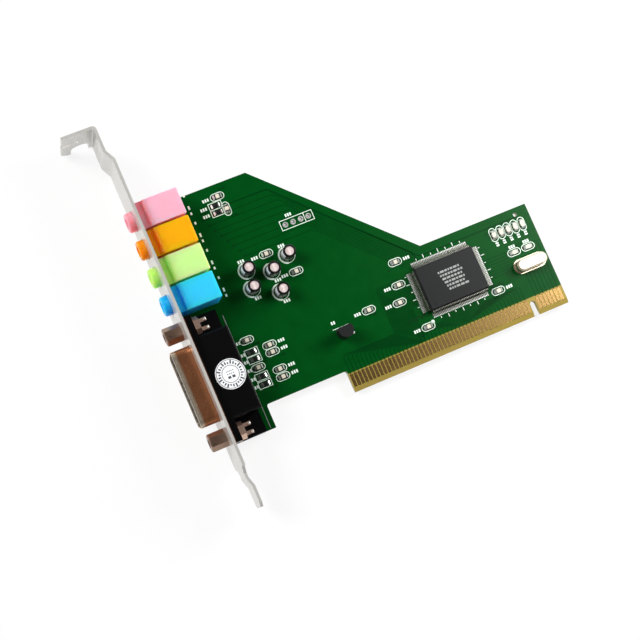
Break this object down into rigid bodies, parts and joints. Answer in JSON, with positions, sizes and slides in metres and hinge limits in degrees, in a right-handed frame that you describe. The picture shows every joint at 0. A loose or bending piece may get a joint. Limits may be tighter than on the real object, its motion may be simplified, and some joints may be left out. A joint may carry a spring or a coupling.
{
  "type": "pci sound card",
  "caption": "Sound card for a PCI slot: stepped green board with gold edge contacts, coloured audio jacks and a game port on a folded steel bracket.",
  "frame": {"origin": "bracket's outer face, level with the tip of the edge contacts, on the component side's surface", "axes": "+X from the bracket towards the tail, +Y up the card away from the slot, +Z out of the component side"},
  "size_m": [0.1269, 0.12, 0.0184],
  "materials": {
    "nickel_steel": "bright nickel plate on folded steel sheet",
    "solder_mask": "green gloss solder mask over glass-fibre board",
    "gold_contact": "thin gold plate",
    "jack_pink": "glossy moulded plastic",
    "jack_orange": "glossy moulded plastic",
    "jack_green": "glossy moulded plastic",
    "jack_blue": "glossy moulded plastic",
    "tinned_metal": "bright tin plate",
    "shell_steel": "plated pressed steel",
    "black_plastic": "black moulded plastic",
    "chip_resin": "moulded resin with a fine grain",
    "sleeve_film": "black shrunk film",
    "can_aluminium": "drawn aluminium",
    "bung_rubber": "black rubber",
    "crystal_steel": "bright drawn and plated can",
    "capacitor_ceramic": "tan fired ceramic",
    "resistor_glaze": "black glaze",
    "sticker_paper": "white coated paper"
  },
  "bodies": {
    "root": {"bracket": "nickel_steel", "capacitor_bungs": "bung_rubber", "capacitor_can_1": "can_aluminium", "capacitor_can_2": "can_aluminium", "capacitor_can_3": "can_aluminium", "capacitor_can_4": "can_aluminium", "capacitor_can_5": "can_aluminium", "capacitor_leads": "tinned_metal", "capacitor_sleeve_1": "sleeve_film", "capacitor_sleeve_2": "sleeve_film", "capacitor_sleeve_3": "sleeve_film", "capacitor_sleeve_4": "sleeve_film", "capacitor_sleeve_5": "sleeve_film", "chip_body": "chip_resin", "chip_capacitor_bodies": "capacitor_ceramic", "chip_capacitor_ends": "tinned_metal", "chip_leads": "tinned_metal", "chip_resistor_bodies": "resistor_glaze", "chip_resistor_ends": "tinned_metal", "circuit_board": "solder_mask", "crystal_base": "crystal_steel", "crystal_can": "crystal_steel", "crystal_leads": "tinned_metal", "edge_contacts_back": "gold_contact", "edge_contacts_front": "gold_contact", "ground_strap_lower": "tinned_metal", "ground_strap_upper": "tinned_metal", "jack_housing_blue": "jack_blue", "jack_housing_green": "jack_green", "jack_housing_orange": "jack_orange", "jack_housing_pink": "jack_pink", "jack_terminals": "tinned_metal", "jackscrews": "shell_steel", "port_body": "black_plastic", "port_contacts": "tinned_metal", "port_insulator": "black_plastic", "port_shell": "shell_steel", "port_sticker": "sticker_paper", "regulator_body": "chip_resin", "regulator_leads": "tinned_metal"}
  },
  "joints": []
}
